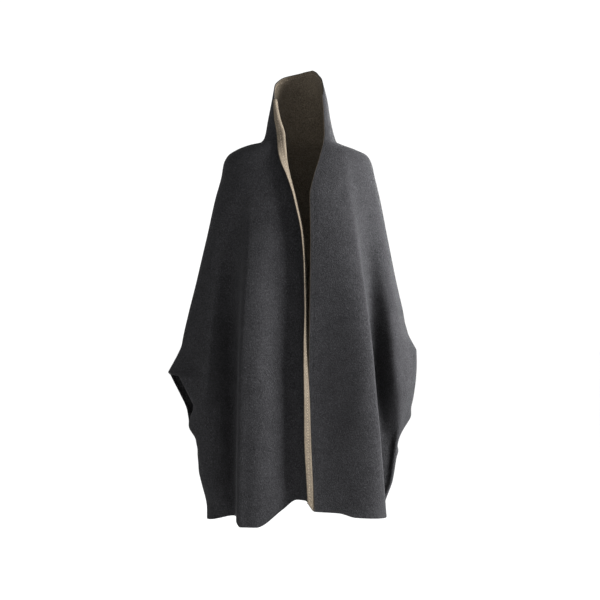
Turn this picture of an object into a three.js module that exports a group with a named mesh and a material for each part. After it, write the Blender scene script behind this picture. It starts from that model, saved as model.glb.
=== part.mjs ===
// Wool cape coat: two fronts, a back and a tall stand-up collar in double-faced wool, filled out as
// when worn. Millimetres, +Z up. The front faces -Y and the wearer's left side is +X. The origin is
// at the neck, midway between the shoulders, where the neck seam and the side seams' plane cross.
import * as THREE from 'three';

// Cloth and seams.
const WALL = 2.6;
const SEAM_GAP = 0.3;

// Spacing of the section rings and the number of columns across each piece.
const LONGEST_ROW = 50;
const FRONT_COLUMNS = 22;
const BACK_COLUMNS = 36;
const COLLAR_ROWS = 6;
const COLLAR_FRONT_COLUMNS = 8;
const COLLAR_BACK_COLUMNS = 20;

// The right front edge rolls outward: cloth past the fold, its bend and the columns round it.
const ROLL_LENGTH = 34;
const ROLL_RADIUS = 8;
const ROLL_COLUMNS = 5;

// Hems hang level at HEM_LEVEL except for the local drops below, which start at HEM_BLEND.
const HEM_LEVEL = -960;
const HEM_BLEND = -640;

// Folds die out over this distance before they reach a side seam, and they are full grown before the
// hem: FOLD_GROWTH is their drop over the drop that they need.
const FOLD_FADE = 40;
const FOLD_GROWTH = 1.6;

// Share of a panel, from its side seam, that an arm slit pulls along and that a sleeve's tip spreads.
const SLIT_REACH = 0.5;
const TIP_REACH = 0.4;

// Share of a front's columns that lie between its side seam and its main fold.
const CREST_COLUMN = 0.5;

// Level sections from the collar's top down to the hem. right and left are the half widths at the
// sides, the edges are where the fronts end, depths run forward and back from the sides, and
// fullness is the section's exponent: 2 is an ellipse, less is flatter and more pointed at the side.
const SECTION_COLUMNS = [
  'z', 'right', 'left', 'rightEdge', 'leftEdge', 'rightDepth', 'leftDepth', 'backDepth', 'fullness',
];
const SECTIONS = [
  [205, 56, 50, -48, 42, 24, 24, 88, 2.0],
  [155, 66, 61, -57, 52, 34, 34, 88, 2.0],
  [110, 74, 72, -65, 59, 43, 44, 86, 2.0],
  [60, 84, 80, -57, 62, 52, 54, 82, 2.0],
  [14, 93, 91, -46, 63, 60, 63, 80, 2.0],
  [0, 104, 97, -44, 61, 63, 66, 82, 2.0],
  [-7, 136, 112, -43, 60, 66, 69, 86, 2.0],
  [-18, 165, 144, -41, 57, 70, 73, 93, 2.0],
  [-34, 189, 176, -38, 53, 74, 79, 101, 2.0],
  [-55, 200, 188, -35, 47, 78, 86, 110, 2.0],
  [-90, 206, 196, -27, 36, 82, 95, 119, 1.95],
  [-150, 222, 210, -11, 24, 85, 105, 125, 1.9],
  [-250, 245, 230, 2, 25, 85, 113, 128, 1.85],
  [-350, 268, 250, 6, 24, 83, 117, 130, 1.8],
  [-450, 293, 272, 8, 23, 80, 118, 132, 1.75],
  [-537, 311, 289, 11, 22, 78, 118, 134, 1.7],
  [-602, 317, 294, 13, 22, 77, 118, 136, 1.7],
  [-660, 309, 292, 15, 23, 76, 118, 138, 1.75],
  [-730, 290, 276, 17, 25, 75, 119, 140, 1.8],
  [-800, 272, 257, 20, 28, 74, 120, 143, 1.85],
  [-880, 261, 243, 25, 33, 72, 121, 146, 1.9],
  [-960, 244, 220, 28, 36, 70, 122, 150, 1.9],
].map((row) => Object.fromEntries(SECTION_COLUMNS.map((name, i) => [name, row[i]])));

// Folds and hollows: where each starts, its place across at its top and at the hem, its height there
// (a hollow's is negative), its reach towards the middle of the coat and towards the side, and how far
// it leans over towards the side for each millimetre of height. The first row of each front is its
// main fold.
const FOLDS = [
  { piece: 'right_front', topZ: -60, topX: -118, hemX: -136, height: 48, inner: 70, outer: 24, lean: 0.45 },
  { piece: 'right_front', topZ: -130, topX: -180, hemX: -182, height: -34, inner: 26, outer: 30, lean: 0.2 },
  { piece: 'right_front', topZ: -200, topX: -232, hemX: -214, height: 12, inner: 30, outer: 30, lean: 0 },
  { piece: 'right_front', topZ: -330, topX: -60, hemX: -58, height: 12, inner: 34, outer: 36, lean: 0 },
  { piece: 'left_front', topZ: -40, topX: 146, hemX: 180, height: 42, inner: 76, outer: 22, lean: 0.5 },
  { piece: 'left_front', topZ: -110, topX: 192, hemX: 214, height: -40, inner: 24, outer: 26, lean: 0.2 },
  { piece: 'left_front', topZ: -190, topX: 232, hemX: 258, height: 24, inner: 26, outer: 30, lean: 0 },
  { piece: 'left_front', topZ: -420, topX: 70, hemX: 86, height: -10, inner: 34, outer: 34, lean: 0 },
  { piece: 'back', topZ: -80, topX: -130, hemX: -150, height: 26, inner: 40, outer: 30, lean: 0.2 },
  { piece: 'back', topZ: -160, topX: -72, hemX: -84, height: -18, inner: 28, outer: 32, lean: 0 },
  { piece: 'back', topZ: -110, topX: -14, hemX: -18, height: 18, inner: 36, outer: 36, lean: 0 },
  { piece: 'back', topZ: -260, topX: 58, hemX: 66, height: -20, inner: 32, outer: 28, lean: 0 },
  { piece: 'back', topZ: -90, topX: 120, hemX: 142, height: 28, inner: 38, outer: 30, lean: 0.2 },
];

// Lowest points along the hems, by place across.
const FRONT_HEM = [
  { x: -244, z: -982 },
  { x: -169, z: -972 },
  { x: -153, z: -988 },
  { x: -112, z: -988 },
  { x: -44, z: -946 },
  { x: -6, z: -921 },
  { x: 14, z: -922 },
  { x: 36, z: -947 },
  { x: 100, z: -950 },
  { x: 140, z: -960 },
  { x: 190, z: -962 },
  { x: 222, z: -963 },
];
const BACK_HEM = [
  { x: -244, z: -982 },
  { x: -140, z: -962 },
  { x: 0, z: -945 },
  { x: 130, z: -950 },
  { x: 222, z: -962 },
];

// Turn of the rolled edge, in degrees: it stands out from the chest and lies over at collar and hem.
const ROLL_TURN = [
  { z: 205, turn: 100 },
  { z: 108, turn: 112 },
  { z: 60, turn: 150 },
  { z: 20, turn: 170 },
  { z: -18, turn: 145 },
  { z: -60, turn: 120 },
  { z: -120, turn: 101 },
  { z: -420, turn: 101 },
  { z: -542, turn: 121 },
  { z: -675, turn: 134 },
  { z: -805, turn: 152 },
  { z: -985, turn: 160 },
];

// Height of the collar's upper edge. around runs from the right front edge (0) past the right side (1),
// the middle of the back (2) and the left side (3) to the left front edge (4).
const COLLAR_TOP = [
  { around: 0, z: 106 },
  { around: 0.6, z: 134 },
  { around: 1, z: 152 },
  { around: 1.5, z: 182 },
  { around: 2, z: 196 },
  { around: 2.4, z: 202 },
  { around: 2.8, z: 180 },
  { around: 3.2, z: 158 },
  { around: 4, z: 120 },
];

// Arm slits in the side seams: their ends, and how far the front and back edges part at the widest.
const ARM_SLITS = [
  { side: -1, top: -598, bottom: -732, frontIn: 36, frontForward: 34, backIn: 0, backAway: 30 },
  { side: 1, top: -537, bottom: -735, frontIn: 0, frontForward: 12, backIn: 14, backAway: 46 },
];

// Tips of the batwing sleeves at the slits: their level, how far they stand out of the sides, and
// over what height they grow above that level and die out below it.
const SLEEVE_TIPS = [
  { side: -1, z: -602, out: 30, above: 75, below: 100 },
  { side: 1, z: -541, out: 16, above: 42, below: 215 },
];

const CLOTH_COLOUR = 0x3b3b3f;
const COLLAR_COLOUR = 0x3f3d3c;

const clamp01 = (value) => Math.min(1, Math.max(0, value));
const smooth = (value) => clamp01(value) ** 2 * (3 - 2 * clamp01(value));

// Value of a table's column at a place along its key, on a smooth curve that never overshoots a row.
function along(table, key, column, place) {
  const rows = table[0][key] < table[table.length - 1][key] ? table : [...table].reverse();
  const last = rows.length - 1;
  const gap = (i) => rows[i + 1][key] - rows[i][key];
  const rise = (i) => (rows[i + 1][column] - rows[i][column]) / gap(i);
  const slope = (i) => {
    if (i === 0 || i === last || rise(i - 1) * rise(i) <= 0) return 0;
    return (2 * rise(i - 1) * rise(i)) / (rise(i - 1) + rise(i));
  };
  let i = 0;
  while (i < last - 1 && place > rows[i + 1][key]) i += 1;
  const t = clamp01((place - rows[i][key]) / gap(i));
  const bend = gap(i) * t * (1 - t) * (slope(i) * (1 - t) - slope(i + 1) * t);
  return rows[i][column] + (rows[i + 1][column] - rows[i][column]) * smooth(t) + bend;
}

const section = (column, z) => along(SECTIONS, 'z', column, z);

// Place across of a fold's crest at a level.
function crestAt(fold, z) {
  const fall = clamp01((fold.topZ - z) / (fold.topZ - HEM_LEVEL));
  return fold.topX + (fold.hemX - fold.topX) * fall;
}

// How far the folds of a piece raise its cloth at a point, and how far they lean it towards the side.
// side is -1 on the right and 1 on the left.
function foldAt(piece, x, z, side) {
  const halfWidth = section(side < 0 ? 'right' : 'left', z);
  const fade = smooth((halfWidth - side * x) / FOLD_FADE);
  let raised = 0;
  let leaned = 0;
  for (const fold of FOLDS) {
    if (fold.piece !== piece) continue;
    const fall = (fold.topZ - z) / (fold.topZ - HEM_LEVEL);
    const off = (x - crestAt(fold, z)) * side;
    const reach = off > 0 ? fold.outer : fold.inner;
    const height = fade * fold.height * smooth(FOLD_GROWTH * fall) * Math.exp(-((off / reach) ** 2));
    raised += height;
    leaned += fold.lean * height;
  }
  return { raised, leaned };
}

// How wide an arm slit stands open at a level: nothing at its ends, 1 at the widest.
function slitOpening(slit, z) {
  const t = clamp01((slit.top - z) / (slit.top - slit.bottom));
  return Math.sin(Math.PI * t ** 0.7) ** 0.8;
}

// How far a sleeve's tip stands out of the side at a level.
function tipOut(side, z) {
  const tip = SLEEVE_TIPS.find((row) => row.side === side);
  const away = z > tip.z ? (z - tip.z) / tip.above : (tip.z - z) / tip.below;
  return tip.out * clamp01(1 - away) ** 1.3;
}

// Share of a front's section at a column, so that columns run along the main fold's crest.
function columnShare(side, column, z) {
  const [name, half] = side < 0 ? ['right_front', 'right'] : ['left_front', 'left'];
  const fold = FOLDS.find((row) => row.piece === name);
  const edge = section(`${half}Edge`, z);
  const across = (crestAt(fold, z) - edge) / (side * section(half, z) - edge);
  const crest = (2 / Math.PI) * Math.acos(Math.min(0.95, across) ** (section('fullness', z) / 2));
  if (column < CREST_COLUMN) return (column / CREST_COLUMN) * crest;
  return crest + ((column - CREST_COLUMN) / (1 - CREST_COLUMN)) * (1 - crest);
}

// Point of a front. share runs from the side seam (0) to the front edge (1).
function frontPoint(side, share, z) {
  const [name, half] = side < 0 ? ['right_front', 'right'] : ['left_front', 'left'];
  const edge = section(`${half}Edge`, z);
  const power = 2 / section('fullness', z);
  const angle = (share * Math.PI) / 2;
  const reach = Math.max(0, Math.cos(angle)) ** power;
  const slit = ARM_SLITS.find((row) => row.side === side);
  const pull = slitOpening(slit, z) * (1 - smooth(share / SLIT_REACH));
  const x = edge + (side * section(half, z) - edge) * reach;
  const y = -section(`${half}Depth`, z) * Math.sin(angle) ** power;
  const { raised, leaned } = foldAt(name, x, z, side);
  const spread = tipOut(side, z) * (1 - smooth(share / TIP_REACH));
  return new THREE.Vector3(
    x + side * (leaned + spread - slit.frontIn * pull),
    y - raised - slit.frontForward * pull,
    z,
  );
}

// Point of the back. share runs from a side seam (0) to the middle of the back (1).
function backPoint(side, share, z) {
  const half = side < 0 ? 'right' : 'left';
  const power = 2 / section('fullness', z);
  const angle = (share * Math.PI) / 2;
  const slit = ARM_SLITS.find((row) => row.side === side);
  const pull = slitOpening(slit, z) * (1 - smooth(share / SLIT_REACH));
  const x = side * section(half, z) * Math.max(0, Math.cos(angle)) ** power;
  const y = section('backDepth', z) * Math.sin(angle) ** power;
  const { raised, leaned } = foldAt('back', x, z, side);
  const spread = tipOut(side, z) * (1 - smooth(share / TIP_REACH));
  return new THREE.Vector3(
    x + side * (leaned + spread - slit.backIn * pull),
    y + raised + slit.backAway * pull,
    z,
  );
}

// Point of the rolled edge, past the right front's edge by a share of the roll's length.
function rollPoint(share, z) {
  const point = frontPoint(-1, 1, z);
  const turn = THREE.MathUtils.degToRad(along(ROLL_TURN, 'z', 'turn', z));
  const length = share * ROLL_LENGTH;
  const bent = Math.min(turn, length / ROLL_RADIUS);
  const straight = length - bent * ROLL_RADIUS;
  point.x += ROLL_RADIUS * Math.sin(bent) + straight * Math.cos(bent);
  point.y -= ROLL_RADIUS * (1 - Math.cos(bent)) + straight * Math.sin(bent);
  return point;
}

// Level of a body point: rows are level, and ease into the uneven hem below HEM_BLEND.
function hang(hem, pointAt, level) {
  const drop = along(hem, 'x', 'z', pointAt(level).x) - HEM_LEVEL;
  return pointAt(level + drop * smooth((HEM_BLEND - level) / (HEM_BLEND - HEM_LEVEL)));
}

// Levels of the body's rows, from the neck seam to the hem.
function bodyLevels() {
  const levels = [0];
  const below = SECTIONS.filter((row) => row.z <= 0);
  for (let i = 1; i < below.length; i += 1) {
    const rise = below[i].z - below[i - 1].z;
    const rows = Math.ceil(-rise / LONGEST_ROW);
    for (let k = 1; k <= rows; k += 1) levels.push(below[i - 1].z + (rise * k) / rows);
  }
  return levels;
}

const shares = (count) => Array.from({ length: count + 1 }, (_, i) => i / count);

// Grid of outer points for each piece: one row for each level, columns from the wearer's right.
function rightFrontGrid() {
  const rolled = shares(ROLL_COLUMNS).slice(1);
  return bodyLevels().map((level) => [
    ...shares(FRONT_COLUMNS).map((column) => (
      hang(FRONT_HEM, (z) => frontPoint(-1, columnShare(-1, column, z), z), level)
    )),
    ...rolled.map((share) => hang(FRONT_HEM, (z) => rollPoint(share, z), level)),
  ]);
}

function leftFrontGrid() {
  const across = shares(FRONT_COLUMNS).reverse();
  return bodyLevels().map((level) => (
    across.map((column) => hang(FRONT_HEM, (z) => frontPoint(1, columnShare(1, column, z), z), level))
  ));
}

function backGrid() {
  const across = shares(BACK_COLUMNS).reverse();
  return bodyLevels().map((level) => across.map((place) => {
    const side = place < 0.5 ? -1 : 1;
    const share = place < 0.5 ? 2 * place : 2 - 2 * place;
    return hang(BACK_HEM, (z) => backPoint(side, share, z), level);
  }));
}

function collarGrid() {
  const rolled = shares(ROLL_COLUMNS).slice(1).reverse();
  const front = shares(COLLAR_FRONT_COLUMNS);
  const back = shares(COLLAR_BACK_COLUMNS).slice(1, -1);
  const places = [
    ...rolled.map((share) => ({ around: 0, at: (z) => rollPoint(share, z) })),
    ...front.map((t) => ({ around: t, at: (z) => frontPoint(-1, 1 - t, z) })),
    ...back.map((t) => ({
      around: 1 + 2 * t,
      at: (z) => backPoint(t < 0.5 ? -1 : 1, t < 0.5 ? 2 * t : 2 - 2 * t, z),
    })),
    ...front.map((t) => ({ around: 3 + t, at: (z) => frontPoint(1, t, z) })),
  ];
  return shares(COLLAR_ROWS).reverse().map((rise) => (
    places.map(({ around, at }) => at(rise * along(COLLAR_TOP, 'around', 'z', around)))
  ));
}

// Outward direction at a grid point. flat keeps it level, as along the neck seam.
function outward(grid, row, column, facing, flat) {
  const rows = grid.length - 1;
  const columns = grid[0].length - 1;
  const down = grid[Math.min(rows, row + 1)][column].clone().sub(grid[Math.max(0, row - 1)][column]);
  const over = grid[row][Math.min(columns, column + 1)].clone().sub(grid[row][Math.max(0, column - 1)]);
  const normal = down.cross(over).multiplyScalar(facing);
  if (flat) normal.z = 0;
  return normal.normalize();
}

// Closed wall of cloth: outer points, inner points one wall behind them, and rims round the border.
// keep holds a point on its own side of the seam planes. facing is 1 where rows run down and columns
// run from the wearer's right to left across a front.
function wallGeometry(grid, facing, seamRow, keep) {
  const rows = grid.length;
  const columns = grid[0].length;
  const foot = rows - 1;
  const end = columns - 1;
  const outer = grid.map((line) => line.map(keep));
  const inner = grid.map((line, row) => line.map((point, column) => (
    keep(point.clone().addScaledVector(outward(grid, row, column, facing, row === seamRow), -WALL))
  )));
  const positions = [...outer.flat(), ...inner.flat()].flatMap((point) => point.toArray());
  const index = [];
  const outerAt = (row, column) => row * columns + column;
  const innerAt = (row, column) => rows * columns + outerAt(row, column);
  const quad = (a, b, c, d) => (facing > 0 ? index.push(a, b, c, a, c, d) : index.push(a, c, b, a, d, c));
  for (let r = 0; r < rows - 1; r += 1) {
    for (let c = 0; c < columns - 1; c += 1) {
      quad(outerAt(r, c), outerAt(r + 1, c), outerAt(r + 1, c + 1), outerAt(r, c + 1));
      quad(innerAt(r, c), innerAt(r, c + 1), innerAt(r + 1, c + 1), innerAt(r + 1, c));
    }
    quad(outerAt(r, 0), innerAt(r, 0), innerAt(r + 1, 0), outerAt(r + 1, 0));
    quad(outerAt(r, end), outerAt(r + 1, end), innerAt(r + 1, end), innerAt(r, end));
  }
  for (let c = 0; c < columns - 1; c += 1) {
    quad(outerAt(0, c), outerAt(0, c + 1), innerAt(0, c + 1), innerAt(0, c));
    quad(outerAt(foot, c), innerAt(foot, c), innerAt(foot, c + 1), outerAt(foot, c + 1));
  }
  const geometry = new THREE.BufferGeometry();
  geometry.setAttribute('position', new THREE.Float32BufferAttribute(positions, 3));
  geometry.setIndex(index);
  geometry.computeVertexNormals();
  return geometry;
}

function piece(name, geometry, colour) {
  const material = new THREE.MeshStandardMaterial({ color: colour, roughness: 0.95, metalness: 0 });
  const mesh = new THREE.Mesh(geometry, material);
  mesh.name = name;
  return mesh;
}

// Each piece stays half a seam gap from the side seams' plane and the neck seam's plane.
const HALF_GAP = SEAM_GAP / 2;
const below = (z) => Math.min(z, -HALF_GAP);
const inFront = ({ x, y, z }) => new THREE.Vector3(x, Math.min(y, -HALF_GAP), below(z));
const behind = ({ x, y, z }) => new THREE.Vector3(x, Math.max(y, HALF_GAP), below(z));
const above = ({ x, y, z }) => new THREE.Vector3(x, y, Math.max(z, HALF_GAP));

const coat = new THREE.Group();
coat.name = 'wool_cape_coat';
coat.add(
  piece('right_front', wallGeometry(rightFrontGrid(), 1, 0, inFront), CLOTH_COLOUR),
  piece('left_front', wallGeometry(leftFrontGrid(), 1, 0, inFront), CLOTH_COLOUR),
  piece('back', wallGeometry(backGrid(), 1, 0, behind), CLOTH_COLOUR),
  piece('collar', wallGeometry(collarGrid(), -1, COLLAR_ROWS, above), COLLAR_COLOUR),
);

export default coat;
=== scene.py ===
import math

import bpy
import numpy as np
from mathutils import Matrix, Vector


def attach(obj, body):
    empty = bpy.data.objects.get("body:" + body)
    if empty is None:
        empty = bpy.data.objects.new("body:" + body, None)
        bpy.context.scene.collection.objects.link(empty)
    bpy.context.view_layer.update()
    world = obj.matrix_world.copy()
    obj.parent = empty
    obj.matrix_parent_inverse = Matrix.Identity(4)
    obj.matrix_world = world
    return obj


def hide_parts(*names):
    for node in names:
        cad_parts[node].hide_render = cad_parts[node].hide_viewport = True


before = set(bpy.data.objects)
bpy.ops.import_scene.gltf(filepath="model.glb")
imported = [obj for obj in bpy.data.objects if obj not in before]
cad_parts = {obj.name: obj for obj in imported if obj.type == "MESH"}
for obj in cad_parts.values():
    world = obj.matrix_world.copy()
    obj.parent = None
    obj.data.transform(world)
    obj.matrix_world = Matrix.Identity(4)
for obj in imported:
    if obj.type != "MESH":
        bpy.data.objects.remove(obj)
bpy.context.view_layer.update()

# Right front
# The wearer's right front and sleeve front are one piece of double-faced wool, charcoal outside and
# taupe inside. Round the arm slit the inner face is charcoal too: this is painted shade standing in for
# the shadow inside the slit. The piece is sewn to the collar and the back, hangs from the neck in one
# tall fold, and its front edge rolls outward.
# The sizes of the cloth are in millimetres, and MM turns its points into metres.
MM = 0.001
SECTION_COLUMNS = (
    "z", "right", "left", "right_edge", "left_edge", "right_depth", "left_depth", "back_depth", "fullness",
)
SECTIONS = np.array([
    [205, 56, 50, -48, 42, 24, 24, 88, 2.0],
    [155, 66, 61, -57, 52, 34, 34, 88, 2.0],
    [110, 74, 72, -65, 59, 43, 44, 86, 2.0],
    [60, 84, 80, -57, 62, 52, 54, 82, 2.0],
    [14, 93, 91, -44, 63, 60, 63, 80, 2.0],
    [0, 104, 97, -43, 61, 63, 66, 82, 2.0],
    [-7, 136, 112, -42.4, 60, 66, 69, 86, 2.0],
    [-18, 165, 144, -41.4, 57, 70, 73, 93, 2.0],
    [-34, 189, 176, -40, 53, 74, 79, 101, 2.0],
    [-55, 200, 188, -38, 47, 78, 86, 110, 2.0],
    [-90, 206, 196, -31, 36, 82, 95, 119, 1.95],
    [-150, 222, 210, -16, 24, 85, 105, 125, 1.9],
    [-250, 245, 230, 2, 25, 85, 113, 128, 1.85],
    [-350, 268, 250, 6, 24, 83, 117, 130, 1.8],
    [-450, 293, 272, 8, 23, 80, 118, 132, 1.75],
    [-537, 311, 289, 11, 22, 78, 118, 134, 1.7],
    [-602, 317, 294, 13, 22, 77, 118, 136, 1.7],
    [-660, 309, 292, 15, 23, 76, 118, 138, 1.75],
    [-730, 290, 276, 17, 25, 75, 119, 140, 1.8],
    [-800, 272, 257, 20, 28, 74, 120, 143, 1.85],
    [-880, 261, 243, 25, 33, 72, 121, 146, 1.9],
    [-960, 244, 220, 28, 36, 70, 122, 150, 1.9],
])
FOLD_COLUMNS = ("top_z", "top_x", "hem_x", "height", "inner", "outer", "lean", "end_z")
PAST_HEM = -2000
RIGHT_FRONT_FOLDS = [
    (-60, -118, -136, 48, 70, 24, 0.45, PAST_HEM),
    (-130, -180, -182, -34, 26, 30, 0.2, PAST_HEM),
    (-200, -196, -296, 22, 28, 30, 0, -740),
    (-330, -60, -58, 12, 34, 36, 0, PAST_HEM),
]
RIGHT_FRONT_CREASES = [
    (-60, -80, -90, 9, 30, 28, 0, PAST_HEM),
    (-240, 4, 26, 22, 30, 30, 0, PAST_HEM),
    (-610, -30, -26, -2.5, 16, 14, 0, PAST_HEM),
    (-560, -205, -198, 4, 12, 14, 0, PAST_HEM),
    (-700, -112, -118, -1.5, 14, 12, 0, PAST_HEM),
]
FRONT_HEM = np.array([
    [-244, -982], [-169, -972], [-153, -988], [-112, -988], [-44, -946], [-6, -921],
    [14, -922], [36, -947], [100, -950], [140, -960], [190, -962], [222, -963],
])
ROLL_TURN = np.array([
    [205, 203], [60, 203], [10, 200], [-25, 182], [-60, 145], [-100, 112],
    [-150, 101], [-420, 101], [-542, 121], [-675, 134], [-805, 152], [-985, 160],
])
ROLL_RADIUS = np.array([[205, 3.5], [-120, 3.5], [-340, 8], [-985, 8]])
ROLL_LENGTH = np.array([
    [205, 13], [106, 14], [60, 20], [10, 26], [-25, 26], [-60, 25], [-250, 34], [-985, 34],
])
SLIT_COLUMNS = (
    "top", "bottom", "front_in", "front_forward", "back_in", "back_away", "open_by", "close_from",
)
ARM_SLITS = {
    -1: (-598, -732, 30, 30, 0, 46, 0.1, 0.6),
    1: (-537, -735, 0, 12, 14, 46, 0.48, 0.4),
}
TIP_COLUMNS = ("z", "out", "above", "below")
SLEEVE_TIPS = {-1: (-602, 30, 75, 100), 1: (-541, 16, 42, 215)}
JOG_COLUMNS = ("z", "out", "reach")
SIDE_JOGS = {
    -1: [(-745, 5, 14), (-775, -4, 12), (-798, -3, 14), (-860, 2, 20)],
    1: [(-718, 9, 20), (-778, -7, 20), (-806, 3, 12), (-470, -2, 20)],
}
JOG_REACH = 0.16
WALL = 2.6
SEAM_PLANE = 0
HEM_LEVEL = -960
HEM_BLEND = -640
FOLD_FADE = 22
FOLD_GROWTH = 1.6
FOLD_END = 160
HOLLOW_LIMIT = 0.72
HOLLOW_SOFTNESS = 4
HOLLOW_EASE = 15
SLIT_REACH = 0.5
TIP_REACH = 0.4
TIP_POINT = 1.3
ROLL_COLUMNS = 22
FRONT_COLUMNS = 112
CREST_COLUMN = 0.5
CREST_LIMIT = 0.95
FINE_STEPS = 12
FELL_WIDTH = 9
# Distance in mm from an arm slit within which the inner face is charcoal: painted shade for the shadow
# inside the slit.
PAINTED_SHADE_REACH = 60
FELL_DEPTH = 0.22
FELL_GROOVE = 1.7
RIM_STEPS = 4
SWELL_START = 150
SWELL_HEIGHT = 0.55
SWELL_EDGE = 20
LOFT_LEVELS = np.concatenate([
    np.arange(0, -60, -1.6),
    np.arange(-60, HEM_LEVEL + 18, -5.0),
    np.linspace(HEM_LEVEL + 16, HEM_LEVEL, 11),
])


def ease(value):
    """Smooth step from 0 to 1."""
    value = np.clip(value, 0, 1)
    return value * value * (3 - 2 * value)


def curve(rows, place):
    """Value of a two-column table at a place, on a smooth curve that never overshoots a row."""
    rows = rows[np.argsort(rows[:, 0])]
    keys, values = rows[:, 0], rows[:, 1]
    gap = np.diff(keys)
    rise = np.diff(values) / gap
    same = rise[:-1] * rise[1:] > 0
    slope = np.zeros(len(keys))
    slope[1:-1][same] = 2 * (rise[:-1] * rise[1:])[same] / (rise[:-1] + rise[1:])[same]
    i = np.clip(np.searchsorted(keys, place) - 1, 0, len(gap) - 1)
    t = np.clip((place - keys[i]) / gap[i], 0, 1)
    bend = gap[i] * t * (1 - t) * (slope[i] * (1 - t) - slope[i + 1] * t)
    return values[i] + (values[i + 1] - values[i]) * ease(t) + bend


def section(name, z):
    """One column of the level sections at the given levels."""
    return curve(SECTIONS[:, [0, SECTION_COLUMNS.index(name)]], z)


def crest_at(fold, z):
    """Place across of a fold's crest at the given levels."""
    fall = np.clip((fold["top_z"] - z) / (fold["top_z"] - HEM_LEVEL), 0, 1)
    return fold["top_x"] + (fold["hem_x"] - fold["top_x"]) * fall


def fold_at(rows, x, z, side):
    """How far folds raise the cloth, and how far they lean it towards the side."""
    fade = ease((section("right" if side < 0 else "left", z) - side * x) / FOLD_FADE)
    raised = np.zeros_like(x)
    leaned = np.zeros_like(x)
    for row in rows:
        fold = dict(zip(FOLD_COLUMNS, row))
        fall = (fold["top_z"] - z) / (fold["top_z"] - HEM_LEVEL)
        off = (x - crest_at(fold, z)) * side
        reach = np.where(off > 0, fold["outer"], fold["inner"])
        height = fold["height"] * ease(FOLD_GROWTH * fall) * ease((z - fold["end_z"]) / FOLD_END)
        height = height * fade * np.exp(-((off / reach) ** 2))
        raised += height
        leaned += fold["lean"] * height
    return raised, leaned


def side_pull(side, share, z):
    """How far an arm slit opens, and how far the sleeve's tip spreads the side, at the given points."""
    slit = dict(zip(SLIT_COLUMNS, ARM_SLITS[side]))
    tip = dict(zip(TIP_COLUMNS, SLEEVE_TIPS[side]))
    t = np.clip((slit["top"] - z) / (slit["top"] - slit["bottom"]), 0, 1)
    pull = ease(t / slit["open_by"]) * (1 - ease((t - slit["close_from"]) / (1 - slit["close_from"])))
    pull = pull * (1 - ease(share / SLIT_REACH))
    away = np.where(z > tip["z"], (z - tip["z"]) / tip["above"], (tip["z"] - z) / tip["below"])
    spread = tip["out"] * np.clip(1 - away, 0, 1) ** TIP_POINT * (1 - ease(share / TIP_REACH))
    for row in SIDE_JOGS[side]:
        jog = dict(zip(JOG_COLUMNS, row))
        bump = jog["out"] * np.exp(-(((z - jog["z"]) / jog["reach"]) ** 2))
        spread = spread + bump * (1 - ease(share / JOG_REACH))
    return slit, pull, spread


def keep_clear(raised, depth):
    """Eases hollows off before they reach the other half of the coat, and leaves the seam closed."""
    room = np.abs(depth) * HOLLOW_LIMIT
    soft = HOLLOW_SOFTNESS * np.clip(room / HOLLOW_EASE, 0, 1) + 1e-3
    return soft * np.logaddexp(0, (raised + room) / soft) - room


def front_points(side, folds, share, z):
    """Points of a front. share runs from the side seam (0) to the front edge (1)."""
    half = "right" if side < 0 else "left"
    edge = section(half + "_edge", z)
    power = 2 / section("fullness", z)
    angle = share * math.pi / 2
    x = edge + (side * section(half, z) - edge) * np.maximum(0, np.cos(angle)) ** power
    y = -section(half + "_depth", z) * np.sin(angle) ** power
    raised, leaned = fold_at(folds, x, z, side)
    slit, pull, spread = side_pull(side, share, z)
    x = x + side * (leaned + spread - slit["front_in"] * pull)
    y = y - keep_clear(raised, y) - slit["front_forward"] * pull
    return np.stack([x, y, z], axis=-1)


def crest_share(side, fold_row, column, z):
    """Share of a front's section at a column, so that columns run along the main fold's crest."""
    half = "right" if side < 0 else "left"
    fold = dict(zip(FOLD_COLUMNS, fold_row))
    edge = section(half + "_edge", z)
    across = np.minimum(CREST_LIMIT, (crest_at(fold, z) - edge) / (side * section(half, z) - edge))
    crest = 2 / math.pi * np.arccos(across ** (section("fullness", z) / 2))
    below = column / CREST_COLUMN * crest
    above = crest + (column - CREST_COLUMN) / (1 - CREST_COLUMN) * (1 - crest)
    return np.where(column < CREST_COLUMN, below, above)


def roll_points(folds, share, z):
    """Points of the rolled edge, past the right front's edge by a share of the roll's length."""
    points = front_points(-1, folds, np.ones_like(z), z)
    turn = np.radians(curve(ROLL_TURN, z))
    length = share * curve(ROLL_LENGTH, z)
    radius = curve(ROLL_RADIUS, z)
    bent = np.minimum(turn, length / radius)
    straight = length - bent * radius
    points[..., 0] += radius * np.sin(bent) + straight * np.cos(bent)
    points[..., 1] -= radius * (1 - np.cos(bent)) + straight * np.sin(bent)
    return points


def hang(hem, points_at, levels):
    """Rows of points that are level above HEM_BLEND and ease into the uneven hem below it."""
    drop = curve(hem, points_at(levels)[..., 0]) - HEM_LEVEL
    return points_at(levels + drop * ease((HEM_BLEND - levels) / (HEM_BLEND - HEM_LEVEL)))


def shares(count, fine_start=0, fine_end=0):
    """Even steps from 0 to 1, with finer ones near an end that is a free edge."""
    steps = [np.linspace(0, 1, count + 1)]
    if fine_start:
        steps.append(np.linspace(0, fine_start, FINE_STEPS))
    if fine_end:
        steps.append(1 - np.linspace(0, fine_end, FINE_STEPS))
    return np.unique(np.round(np.concatenate(steps), 5))


def run_length(grid, axis):
    """Length along the cloth from the first row or column of a grid."""
    step = np.linalg.norm(np.diff(grid, axis=axis), axis=-1)
    start = np.zeros_like(np.take(step, [0], axis=axis))
    return np.concatenate([start, np.cumsum(step, axis=axis)], axis=axis)


def outward(grid, facing, level_row=None):
    """Outward directions of a grid of points, level along the neck seam's row."""
    normal = np.cross(np.gradient(grid, axis=0), np.gradient(grid, axis=1)) * facing
    if level_row is not None:
        normal[level_row, :, 2] = 0
    return normal / np.linalg.norm(normal, axis=-1, keepdims=True)


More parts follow.
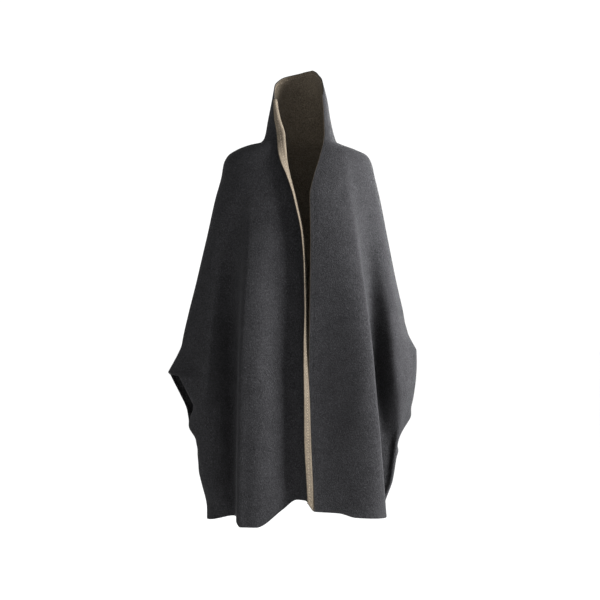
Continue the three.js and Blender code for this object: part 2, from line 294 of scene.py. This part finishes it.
def ripple(grid):
    """Slight unevenness of hand-hung wool: long soft swells a millimetre or so high."""
    x, y, z = grid[..., 0], grid[..., 1], grid[..., 2]
    swell = np.sin(x / 31 + z / 83 + 1.3) + np.sin(x / 17 - z / 140 + 4.1) * 0.6
    return swell * np.sin(z / 61 + y / 47 + 0.4) * ease(-z / SWELL_START) * SWELL_HEIGHT


def cloth_piece(
    name, grid, facing, edge_distance, free, keep, materials, bound=(), seam_row=None, slit_painted_shade_distance=None
):
    """Thin closed shell on a grid of points, with rounded free edges and a felled line inside them.

    edge_distance is each point's distance from the nearest free edge, free marks the border points
    that aren't sewn, keep holds points on their own side of the seams, bound names the borders
    whose rim shows the inner face's wool, and the last argument is each point's distance from an
    arm slit. Near the slit the inner face is charcoal, as painted shade for the shadow inside it.
    """
    rows, columns = grid.shape[:2]
    normal = outward(grid, facing, seam_row)
    fell = FELL_DEPTH * np.exp(-(((edge_distance - FELL_WIDTH) / FELL_GROOVE) ** 2))
    lifted = grid + normal * (ripple(grid) * ease(edge_distance / SWELL_EDGE) - fell)[..., None]
    outer = keep(lifted)
    inner = keep(grid - normal * (WALL - 0.5 * fell)[..., None])
    ids = np.arange(rows * columns).reshape(rows, columns)
    loop = np.concatenate([ids[0, :-1], ids[:-1, -1], ids[-1, :0:-1], ids[:0:-1, 0]])
    inside = np.clip(np.stack(np.unravel_index(loop, (rows, columns))), 1, [[rows - 2], [columns - 2]])
    flat_outer, flat_inner = outer.reshape(-1, 3), inner.reshape(-1, 3)
    middle = (flat_outer[loop] + flat_inner[loop]) / 2
    away = flat_outer[loop] - outer[inside[0], inside[1]]
    away /= np.linalg.norm(away, axis=-1, keepdims=True)
    bulge = away * (WALL / 2 * free.reshape(-1)[loop])[:, None]
    turns = [math.pi * step / RIM_STEPS for step in range(1, RIM_STEPS)]
    rims = [middle + (flat_outer[loop] - middle) * math.cos(t) + bulge * math.sin(t) for t in turns]
    total = rows * columns
    rings = [loop] + [2 * total + i * len(loop) + np.arange(len(loop)) for i in range(len(turns))]
    rings.append(loop + total)
    vertices = np.concatenate([flat_outer, flat_inner, *rims]) * MM
    a, b, c, d = ids[:-1, :-1].ravel(), ids[1:, :-1].ravel(), ids[1:, 1:].ravel(), ids[:-1, 1:].ravel()
    faces = [np.stack([a, b, c, d], 1), np.stack([a, d, c, b], 1) + total]
    slots = [np.zeros(len(a), int), np.ones(len(a), int)]
    # Near an arm slit the inner face takes the charcoal wool instead of the taupe: painted shade for the
    # shadow inside the slit.
    if slit_painted_shade_distance is not None:
        slots[1] = (slit_painted_shade_distance[:-1, :-1].ravel() > PAINTED_SHADE_REACH).astype(int)
    side_of_loop = np.concatenate([
        np.full(columns - 1, 0), np.full(rows - 1, 1), np.full(columns - 1, 2), np.full(rows - 1, 3),
    ])
    names = np.array(["top", "end", "foot", "start"])[side_of_loop]
    for near, far in zip(rings[:-1], rings[1:]):
        quads = np.stack([near, np.roll(near, -1), np.roll(far, -1), far], 1)
        faces.append(quads)
        slots.append(np.isin(names, bound).astype(int))
    faces = np.concatenate(faces)
    if facing < 0:
        faces = faces[:, ::-1]
    mesh = bpy.data.meshes.new(name)
    mesh.from_pydata(vertices.tolist(), [], faces.tolist())
    mesh.polygons.foreach_set("material_index", np.concatenate(slots))
    mesh.polygons.foreach_set("use_smooth", np.ones(len(faces), bool))
    across = run_length(grid, 1).ravel() * MM
    down = (-grid[..., 2]).ravel() * MM
    place = np.stack([across, down], 1)
    place = np.concatenate([place, place] + [place[loop]] * len(turns))
    uv = mesh.uv_layers.new(name="cloth")
    loop_vertices = np.empty(len(mesh.loops), int)
    mesh.loops.foreach_get("vertex_index", loop_vertices)
    uv.data.foreach_set("uv", place[loop_vertices].ravel())
    for material in materials:
        mesh.materials.append(material)
    mesh.update()
    piece = bpy.data.objects.new(name, mesh)
    bpy.context.scene.collection.objects.link(piece)
    return piece


def wool(name, dark, light, fleck, sheen_tint, nap):
    """Napped wool: mottled dyed fibres, pale flecks along the grain, and a soft raised nap."""
    material = bpy.data.materials.new(name)
    material.use_nodes = True
    nodes, links = material.node_tree.nodes, material.node_tree.links
    shader = nodes["Principled BSDF"]
    shader.inputs["Roughness"].default_value = 0.92
    shader.inputs["Specular IOR Level"].default_value = 0.04
    shader.inputs["Sheen Weight"].default_value = 0.025
    shader.inputs["Sheen Roughness"].default_value = 0.42
    shader.inputs["Sheen Tint"].default_value = (*sheen_tint, 1)
    where = nodes.new("ShaderNodeTexCoord")

    def noise(scale, detail, stretch=(1, 1, 1)):
        mapping = nodes.new("ShaderNodeMapping")
        mapping.inputs["Scale"].default_value = stretch
        links.new(where.outputs["Object"], mapping.inputs["Vector"])
        texture = nodes.new("ShaderNodeTexNoise")
        texture.inputs["Scale"].default_value = scale
        texture.inputs["Detail"].default_value = detail
        texture.inputs["Roughness"].default_value = 0.62
        links.new(mapping.outputs["Vector"], texture.inputs["Vector"])
        return texture.outputs["Fac"]

    def ramp(value, low, high, low_colour, high_colour):
        node = nodes.new("ShaderNodeValToRGB")
        node.color_ramp.elements[0].position = low
        node.color_ramp.elements[1].position = high
        node.color_ramp.elements[0].color = (*low_colour, 1)
        node.color_ramp.elements[1].color = (*high_colour, 1)
        links.new(value, node.inputs["Fac"])
        return node.outputs["Color"]

    def mix(factor, first, second):
        node = nodes.new("ShaderNodeMix")
        node.data_type = "RGBA"
        links.new(factor, node.inputs["Factor"])
        links.new(first, node.inputs["A"])
        links.new(second, node.inputs["B"])
        return node.outputs["Result"]

    melange = noise(300, 5)
    cloud = noise(26, 3)
    grain = noise(900, 3, (1, 1, 0.28))
    ground = ramp(melange, 0.38, 0.64, dark, light)
    shaded = ramp(cloud, 0.25, 0.75, [0.86 * x for x in dark], [1.05 * x for x in light])
    cloudy = nodes.new("ShaderNodeMix")
    cloudy.data_type = "RGBA"
    cloudy.inputs["Factor"].default_value = 0.3
    links.new(ground, cloudy.inputs["A"])
    links.new(shaded, cloudy.inputs["B"])
    flecks = ramp(grain, 0.54, 0.7, (0, 0, 0), (0.7, 0.7, 0.7))
    pale = nodes.new("ShaderNodeRGB")
    pale.outputs["Color"].default_value = (*fleck, 1)
    links.new(mix(flecks, cloudy.outputs["Result"], pale.outputs["Color"]), shader.inputs["Base Color"])
    felt = nodes.new("ShaderNodeBump")
    felt.inputs["Strength"].default_value = 0.9
    felt.inputs["Distance"].default_value = nap
    links.new(melange, felt.inputs["Height"])
    fibre = nodes.new("ShaderNodeBump")
    fibre.inputs["Strength"].default_value = 0.6
    fibre.inputs["Distance"].default_value = nap * 0.5
    links.new(grain, fibre.inputs["Height"])
    links.new(felt.outputs["Normal"], fibre.inputs["Normal"])
    links.new(fibre.outputs["Normal"], shader.inputs["Normal"])
    return material


charcoal = wool(
    "charcoal_face",
    dark=(0.0045, 0.0045, 0.0049),
    light=(0.0140, 0.0140, 0.0150),
    fleck=(0.037, 0.037, 0.040),
    sheen_tint=(0.85, 0.85, 0.9),
    nap=0.002,
)
taupe = wool(
    "taupe_face",
    dark=(0.032, 0.026, 0.0185),
    light=(0.076, 0.063, 0.048),
    fleck=(0.11, 0.096, 0.077),
    sheen_tint=(1, 0.94, 0.84),
    nap=0.0012,
)
FACES = (charcoal, taupe)


def in_front(points):
    """Keeps points ahead of the side seams and below the neck seam."""
    x, y, z = points[..., 0], points[..., 1], points[..., 2]
    return np.stack([x, np.minimum(y, SEAM_PLANE), np.minimum(z, SEAM_PLANE)], axis=-1)


def slit_rows(side, grid, column):
    """Rows of a side column that lie in its arm slit."""
    slit = dict(zip(SLIT_COLUMNS, ARM_SLITS[side]))
    z = grid[:, column, 2]
    return (z < slit["top"]) & (z > slit["bottom"])


def slit_distance(side, grid, column):
    """Distance of each point from the arm slit's edge in a side column."""
    open_rows = slit_rows(side, grid, column)
    edge = grid[open_rows][:, column]
    away = np.full(grid.shape[:2], 1e3)
    for line in np.flatnonzero(open_rows):
        gap = grid[line][:, None, :] - edge[None, :, :]
        away[line] = np.sqrt((gap ** 2).sum(-1)).min(1)
    return away


right_levels = LOFT_LEVELS[:, None]
right_columns = shares(FRONT_COLUMNS, fine_start=0.05)[None, :]
right_folds = RIGHT_FRONT_FOLDS + RIGHT_FRONT_CREASES


def right_front_at(z):
    """Points of the right front's columns at the given levels."""
    return front_points(-1, right_folds, crest_share(-1, RIGHT_FRONT_FOLDS[0], right_columns, z), z)


def right_roll_at(z):
    """Points of the right front's rolled edge at the given levels."""
    return roll_points(right_folds, np.linspace(0, 1, ROLL_COLUMNS + 1)[None, 1:], z)


right_panel = hang(FRONT_HEM, right_front_at, right_levels + 0 * right_columns)
right_roll = hang(FRONT_HEM, right_roll_at, right_levels + np.zeros((1, ROLL_COLUMNS)))
right_grid = np.concatenate([right_panel, right_roll], axis=1)
from_hem = run_length(right_grid[::-1], 0)[::-1]
from_edge = run_length(right_grid[:, ::-1], 1)[:, ::-1]
right_away = np.minimum(np.minimum(from_hem, from_edge), slit_distance(-1, right_grid, 0))
right_free = np.zeros(right_grid.shape[:2])
right_free[-1] = 1
right_free[:, -1] = 1
right_free[slit_rows(-1, right_grid, 0), 0] = 1
right_front = cloth_piece(
    "right_front_cloth", right_grid, 1, right_away, right_free, in_front, FACES,
    bound=("end",), seam_row=0, slit_painted_shade_distance=slit_distance(-1, right_grid, 0),
)
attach(right_front, "root")
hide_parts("right_front")

# Left front
# The wearer's left front is cut like the right one in the same wool and sewn in the same way, but its
# edge hangs flat. Its main fold runs from the shoulder to the hem and leans over a deep hollow.
LEFT_FRONT_FOLDS = [
    (45, 100, 190, 46, 76, 20, 0.62, PAST_HEM),
    (-60, 160, 232, -42, 24, 26, 0.2, PAST_HEM),
    (-190, 226, 270, 22, 26, 30, 0, -760),
    (-420, 26, 36, -12, 70, 60, 0, PAST_HEM),
]
LEFT_FRONT_CREASES = [
    (-300, 122, 138, 1.5, 22, 18, 0, PAST_HEM),
    (-640, 232, 222, -14, 24, 30, 0, PAST_HEM),
    (-640, 130, 140, -1.2, 16, 14, 0, PAST_HEM),
    (-500, 250, 236, -3.5, 10, 10, 0, PAST_HEM),
]
left_levels = LOFT_LEVELS[:, None]
left_columns = shares(FRONT_COLUMNS, fine_start=0.05, fine_end=0.06)[::-1][None, :]
left_folds = LEFT_FRONT_FOLDS + LEFT_FRONT_CREASES


def left_front_at(z):
    """Points of the left front's columns at the given levels."""
    return front_points(1, left_folds, crest_share(1, LEFT_FRONT_FOLDS[0], left_columns, z), z)


left_grid = hang(FRONT_HEM, left_front_at, left_levels + 0 * left_columns)
from_hem = run_length(left_grid[::-1], 0)[::-1]
from_edge = run_length(left_grid, 1)
left_away = np.minimum(np.minimum(from_hem, from_edge), slit_distance(1, left_grid, -1))
left_free = np.zeros(left_grid.shape[:2])
left_free[-1] = 1
left_free[:, 0] = 1
left_free[slit_rows(1, left_grid, -1), -1] = 1
left_front = cloth_piece(
    "left_front_cloth", left_grid, 1, left_away, left_free, in_front, FACES,
    bound=("start",), seam_row=0, slit_painted_shade_distance=slit_distance(1, left_grid, -1),
)
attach(left_front, "root")
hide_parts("left_front")

# Back
# The back is cut in one with both sleeve backs from the same wool. It is sewn to the fronts along the
# shoulders and sides, except at the arm slits, and falls from the shoulders in a few soft folds.
BACK_FOLDS = [
    (-80, -130, -150, 26, 40, 30, 0.2, PAST_HEM),
    (-160, -72, -84, -18, 28, 32, 0, PAST_HEM),
    (-110, -14, -18, 18, 36, 36, 0, PAST_HEM),
    (-260, 58, 66, -20, 32, 28, 0, PAST_HEM),
    (-90, 120, 142, 28, 38, 30, 0.2, PAST_HEM),
]
BACK_CREASES = [
    (-380, -190, -188, -4, 14, 12, 0, PAST_HEM),
    (-520, -48, -52, 3.5, 12, 14, 0, PAST_HEM),
    (-450, 30, 28, 3, 11, 13, 0, PAST_HEM),
    (-560, 100, 104, -4, 12, 12, 0, PAST_HEM),
    (-420, 196, 184, -4, 12, 14, 0, PAST_HEM),
]
BACK_HEM = np.array([[-244, -982], [-140, -962], [0, -945], [130, -950], [222, -962]])
BACK_COLUMNS = 168


def back_points(side, folds, share, z):
    """Points of the back. share runs from a side seam (0) to the middle of the back (1)."""
    power = 2 / section("fullness", z)
    angle = share * math.pi / 2
    x = side * section("right" if side < 0 else "left", z) * np.maximum(0, np.cos(angle)) ** power
    y = section("back_depth", z) * np.sin(angle) ** power
    raised, leaned = fold_at(folds, x, z, side)
    slit, pull, spread = side_pull(side, share, z)
    x = x + side * (leaned + spread - slit["back_in"] * pull)
    y = y + keep_clear(raised, y) + slit["back_away"] * pull
    return np.stack([x, y, z], axis=-1)


def behind(points):
    """Keeps points behind the side seams and below the neck seam."""
    x, y, z = points[..., 0], points[..., 1], points[..., 2]
    return np.stack([x, np.maximum(y, SEAM_PLANE), np.minimum(z, SEAM_PLANE)], axis=-1)


back_places = shares(BACK_COLUMNS, fine_start=0.025, fine_end=0.025)[::-1]
left_half = 2 - 2 * back_places[back_places >= 0.5][None, :]
right_half = 2 * back_places[back_places < 0.5][None, :]
back_folds = BACK_FOLDS + BACK_CREASES


def back_at(z):
    """Points of the back's columns at the given levels, from the wearer's left to right."""
    split = left_half.shape[1]
    left_points = back_points(1, back_folds, left_half, z[:, :split])
    right_points = back_points(-1, back_folds, right_half, z[:, split:])
    return np.concatenate([left_points, right_points], axis=1)


back_grid = hang(BACK_HEM, back_at, LOFT_LEVELS[:, None] + np.zeros((1, len(back_places))))
from_hem = run_length(back_grid[::-1], 0)[::-1]
back_slits = np.minimum(slit_distance(1, back_grid, 0), slit_distance(-1, back_grid, -1))
back_away = np.minimum(back_slits, from_hem)
back_free = np.zeros(back_grid.shape[:2])
back_free[-1] = 1
back_free[slit_rows(1, back_grid, 0), 0] = 1
back_free[slit_rows(-1, back_grid, -1), -1] = 1
back = cloth_piece(
    "back_cloth", back_grid, 1, back_away, back_free, behind, FACES, seam_row=0, slit_painted_shade_distance=back_slits
)
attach(back, "root")
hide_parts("back")

# Collar
# A tall band of the same wool stands up round the neck, higher behind than in front. It is sewn on at
# the neck, its ends run into the front edges, and the right one carries on the rolled edge below it.
COLLAR_TOP = np.array([
    [0, 106], [0.6, 134], [1, 152], [1.5, 182], [2, 196], [2.25, 200], [2.45, 200.5], [2.65, 193],
    [2.85, 178], [3.2, 158], [4, 120],
])
COLLAR_ROWS = 62
COLLAR_FRONT_COLUMNS = 40
COLLAR_BACK_COLUMNS = 92


def above_neck(points):
    """Keeps points above the neck seam."""
    x, y, z = points[..., 0], points[..., 1], points[..., 2]
    return np.stack([x, y, np.maximum(z, SEAM_PLANE)], axis=-1)


collar_rise = shares(COLLAR_ROWS, fine_end=0.08)[::-1][:, None]
roll_share = np.linspace(0, 1, ROLL_COLUMNS + 1)[None, :0:-1]
front_share = shares(COLLAR_FRONT_COLUMNS, fine_end=0.14)[None, ::-1]
back_share = np.linspace(0, 1, COLLAR_BACK_COLUMNS + 1)[None, 1:-1]
back_left = back_share > 0.5
left_share = front_share[:, ::-1]


def collar_level(around):
    """Levels of the collar's rows at places around it."""
    return collar_rise * curve(COLLAR_TOP, around)


roll_z = collar_level(0 * roll_share)
right_z = collar_level(1 - front_share)
back_z = collar_level(1 + 2 * back_share)
left_z = collar_level(3 + left_share)
back_fold_share = np.where(back_left, 2 - 2 * back_share, 2 * back_share)
collar_grid = np.concatenate([
    roll_points([], roll_share, roll_z),
    front_points(-1, [], front_share, right_z),
    back_points(-1, [], back_fold_share[:, ~back_left[0]], back_z[:, ~back_left[0]]),
    back_points(1, [], back_fold_share[:, back_left[0]], back_z[:, back_left[0]]),
    front_points(1, [], left_share, left_z),
], axis=1)
from_top = run_length(collar_grid, 0)
from_left = run_length(collar_grid[:, ::-1], 1)[:, ::-1]
collar_away = np.minimum(np.minimum(from_top, run_length(collar_grid, 1)), from_left)
collar_free = np.zeros(collar_grid.shape[:2])
collar_free[0] = 1
collar_free[:, 0] = 1
collar_free[:, -1] = 1
collar = cloth_piece(
    "collar_cloth", collar_grid, -1, collar_away, collar_free, above_neck, FACES,
    bound=("start", "end"), seam_row=len(collar_rise) - 1,
)
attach(collar, "root")
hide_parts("collar")

# Felling stitches
# The two layers of the cloth are turned in on each other at every free edge and felled by hand on the
# inner face, with small slanting stitches in taupe thread.
STITCH_SPACING = 0.007
STITCH_LENGTH = 0.0042
STITCH_THICKNESS = 0.0007
STITCH_LIFT = 0.35


def fell_line(grid, facing, row=None, column=None):
    """Line on the inner face along a free row or column, one felled width inside the edge."""
    normal = outward(grid, facing)
    inner = grid - normal * (WALL + STITCH_LIFT)
    lines = run_length(grid[::-1], 0)[::-1] if row == -1 else run_length(grid, 0)
    if column is not None:
        lines = run_length(grid[:, ::-1], 1)[:, ::-1] if column == -1 else run_length(grid, 1)
        nearest = np.abs(lines - FELL_WIDTH).argmin(1)
        return inner[np.arange(len(grid)), nearest]
    nearest = np.abs(lines - FELL_WIDTH).argmin(0)
    return inner[nearest, np.arange(grid.shape[1])]


fell_lines = [
    fell_line(right_grid, 1, row=-1)[6:-6],
    fell_line(right_grid, 1, column=-1)[4:-8],
    fell_line(left_grid, 1, row=-1)[10:-6],
    fell_line(left_grid, 1, column=0)[4:-8],
    fell_line(back_grid, 1, row=-1)[6:-6],
    fell_line(collar_grid, -1, row=0)[ROLL_COLUMNS:-12],
    fell_line(collar_grid, -1, column=0)[12:-2],
    fell_line(collar_grid, -1, column=-1)[12:-2],
]
line_points = np.concatenate(fell_lines) * MM
line_edges = []
for line in fell_lines:
    first = sum(len(other) for other in fell_lines[:len(line_edges)])
    line_edges.append(np.stack([np.arange(len(line) - 1), np.arange(1, len(line))], 1) + first)
line_mesh = bpy.data.meshes.new("fell_lines")
line_mesh.from_pydata(line_points.tolist(), np.concatenate(line_edges).tolist(), [])
line_object = bpy.data.objects.new("fell_lines", line_mesh)
bpy.context.scene.collection.objects.link(line_object)

thread = bpy.data.materials.new("taupe_thread")
thread.use_nodes = True
thread_shader = thread.node_tree.nodes["Principled BSDF"]
thread_shader.inputs["Roughness"].default_value = 0.75
thread_shader.inputs["Sheen Weight"].default_value = 0.1
twist = thread.node_tree.nodes.new("ShaderNodeTexNoise")
twist.inputs["Scale"].default_value = 2600
twist_place = thread.node_tree.nodes.new("ShaderNodeTexCoord")
twist_colour = thread.node_tree.nodes.new("ShaderNodeValToRGB")
twist_colour.color_ramp.elements[0].color = (0.11, 0.085, 0.06, 1)
twist_colour.color_ramp.elements[1].color = (0.24, 0.19, 0.14, 1)
thread.node_tree.links.new(twist_place.outputs["Object"], twist.inputs["Vector"])
thread.node_tree.links.new(twist.outputs["Fac"], twist_colour.inputs["Fac"])
thread.node_tree.links.new(twist_colour.outputs["Color"], thread_shader.inputs["Base Color"])

stitch_tree = bpy.data.node_groups.new("felling_stitches", "GeometryNodeTree")
stitch_tree.interface.new_socket("Geometry", in_out="INPUT", socket_type="NodeSocketGeometry")
for socket in ("Spacing", "Length", "Thickness"):
    stitch_tree.interface.new_socket(socket, in_out="INPUT", socket_type="NodeSocketFloat")
stitch_tree.interface.new_socket("Geometry", in_out="OUTPUT", socket_type="NodeSocketGeometry")
knots, wires = stitch_tree.nodes, stitch_tree.links
entry = knots.new("NodeGroupInput")
leave = knots.new("NodeGroupOutput")
to_curve = knots.new("GeometryNodeMeshToCurve")
resample = knots.new("GeometryNodeResampleCurve")
resample.mode = "LENGTH"
tangent = knots.new("GeometryNodeInputTangent")
align = knots.new("FunctionNodeAlignRotationToVector")
slant = knots.new("FunctionNodeRotateRotation")
slant.rotation_space = "LOCAL"
slant.inputs["Rotate By"].default_value = (0.45, 0, 0)
bead = knots.new("GeometryNodeMeshUVSphere")
bead.inputs["Segments"].default_value = 6
bead.inputs["Rings"].default_value = 5
bead.inputs["Radius"].default_value = 0.5
scale = knots.new("ShaderNodeCombineXYZ")
place_stitches = knots.new("GeometryNodeInstanceOnPoints")
realize = knots.new("GeometryNodeRealizeInstances")
paint = knots.new("GeometryNodeSetMaterial")
paint.inputs["Material"].default_value = thread
wires.new(entry.outputs["Geometry"], to_curve.inputs["Mesh"])
wires.new(to_curve.outputs["Curve"], resample.inputs["Curve"])
wires.new(entry.outputs["Spacing"], resample.inputs["Length"])
wires.new(tangent.outputs["Tangent"], align.inputs["Vector"])
wires.new(align.outputs["Rotation"], slant.inputs["Rotation"])
wires.new(entry.outputs["Thickness"], scale.inputs["X"])
wires.new(entry.outputs["Thickness"], scale.inputs["Y"])
wires.new(entry.outputs["Length"], scale.inputs["Z"])
wires.new(resample.outputs["Curve"], place_stitches.inputs["Points"])
wires.new(bead.outputs["Mesh"], place_stitches.inputs["Instance"])
wires.new(slant.outputs["Rotation"], place_stitches.inputs["Rotation"])
wires.new(scale.outputs["Vector"], place_stitches.inputs["Scale"])
wires.new(place_stitches.outputs["Instances"], realize.inputs["Geometry"])
wires.new(realize.outputs["Geometry"], paint.inputs["Geometry"])
wires.new(paint.outputs["Geometry"], leave.inputs["Geometry"])
stitcher = line_object.modifiers.new("felling", "NODES")
stitcher.node_group = stitch_tree
stitch_sizes = {"Spacing": STITCH_SPACING, "Length": STITCH_LENGTH, "Thickness": STITCH_THICKNESS}
for item in stitch_tree.interface.items_tree:
    if item.in_out == "INPUT" and item.name in stitch_sizes:
        stitcher[item.identifier] = stitch_sizes[item.name]
evaluated = line_object.evaluated_get(bpy.context.evaluated_depsgraph_get())
stitch_mesh = bpy.data.meshes.new_from_object(evaluated)
stitches = bpy.data.objects.new("felling_stitches", stitch_mesh)
bpy.context.scene.collection.objects.link(stitches)
bpy.data.objects.remove(line_object)
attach(stitches, "root")

# Studio
# A plain white floor and white surround, a soft key light from the right of the picture, a weak fill
# from its left, a light on the back, and a camera level with the middle of the coat.
FLOOR_LEVEL = -1.7
FLOOR_REACH = 30
CAMERA_DISTANCE = 3.4
CAMERA_LEVEL = -0.411
FRAME_WIDTH = 1.572
SENSOR_WIDTH = 36

floor_mesh = bpy.data.meshes.new("floor")
floor_mesh.from_pydata(
    [(x, y, FLOOR_LEVEL) for x, y in (
        (-FLOOR_REACH, -FLOOR_REACH), (FLOOR_REACH, -FLOOR_REACH),
        (FLOOR_REACH, FLOOR_REACH), (-FLOOR_REACH, FLOOR_REACH),
    )],
    [], [(0, 1, 2, 3)],
)
floor = bpy.data.objects.new("floor", floor_mesh)
bpy.context.scene.collection.objects.link(floor)
floor_paint = bpy.data.materials.new("floor_paint")
floor_paint.use_nodes = True
floor_shader = floor_paint.node_tree.nodes["Principled BSDF"]
floor_shader.inputs["Base Color"].default_value = (0.93, 0.93, 0.93, 1)
floor_shader.inputs["Roughness"].default_value = 0.9
floor_mesh.materials.append(floor_paint)

surround = bpy.data.worlds.new("white_surround")
surround.use_nodes = True
surround.node_tree.nodes["Background"].inputs["Color"].default_value = (1, 1, 1, 1)
surround.node_tree.nodes["Background"].inputs["Strength"].default_value = 1.09
bpy.context.scene.world = surround
bpy.context.scene.view_settings.view_transform = "Standard"


def lamp(name, place, aim, size, power):
    """Soft rectangular studio light at a place, turned towards a point."""
    light = bpy.data.lights.new(name, "AREA")
    light.shape = "RECTANGLE"
    light.size, light.size_y = size
    light.energy = power
    body = bpy.data.objects.new(name, light)
    bpy.context.scene.collection.objects.link(body)
    body.location = place
    turn = Vector(aim) - Vector(place)
    body.rotation_euler = turn.to_track_quat("-Z", "Y").to_euler()


lamp("key", place=(1.72, -0.66, -0.1), aim=(0, 0, 0.05), size=(1.2, 0.75), power=335)
lamp("fill", place=(-2.2, -2.2, 0.6), aim=(0, 0, -0.45), size=(1.6, 1.6), power=16)
lamp("back_light", place=(1.5, 2.0, 0.35), aim=(0, 0, -0.45), size=(1.0, 1.0), power=130)

lens = bpy.data.cameras.new("camera")
lens.sensor_width = SENSOR_WIDTH
lens.lens = SENSOR_WIDTH * CAMERA_DISTANCE / FRAME_WIDTH
camera = bpy.data.objects.new("camera", lens)
camera.location = (0, -CAMERA_DISTANCE, CAMERA_LEVEL)
camera.rotation_euler = (math.pi / 2, 0, 0)
bpy.context.scene.collection.objects.link(camera)
bpy.context.scene.camera = camera
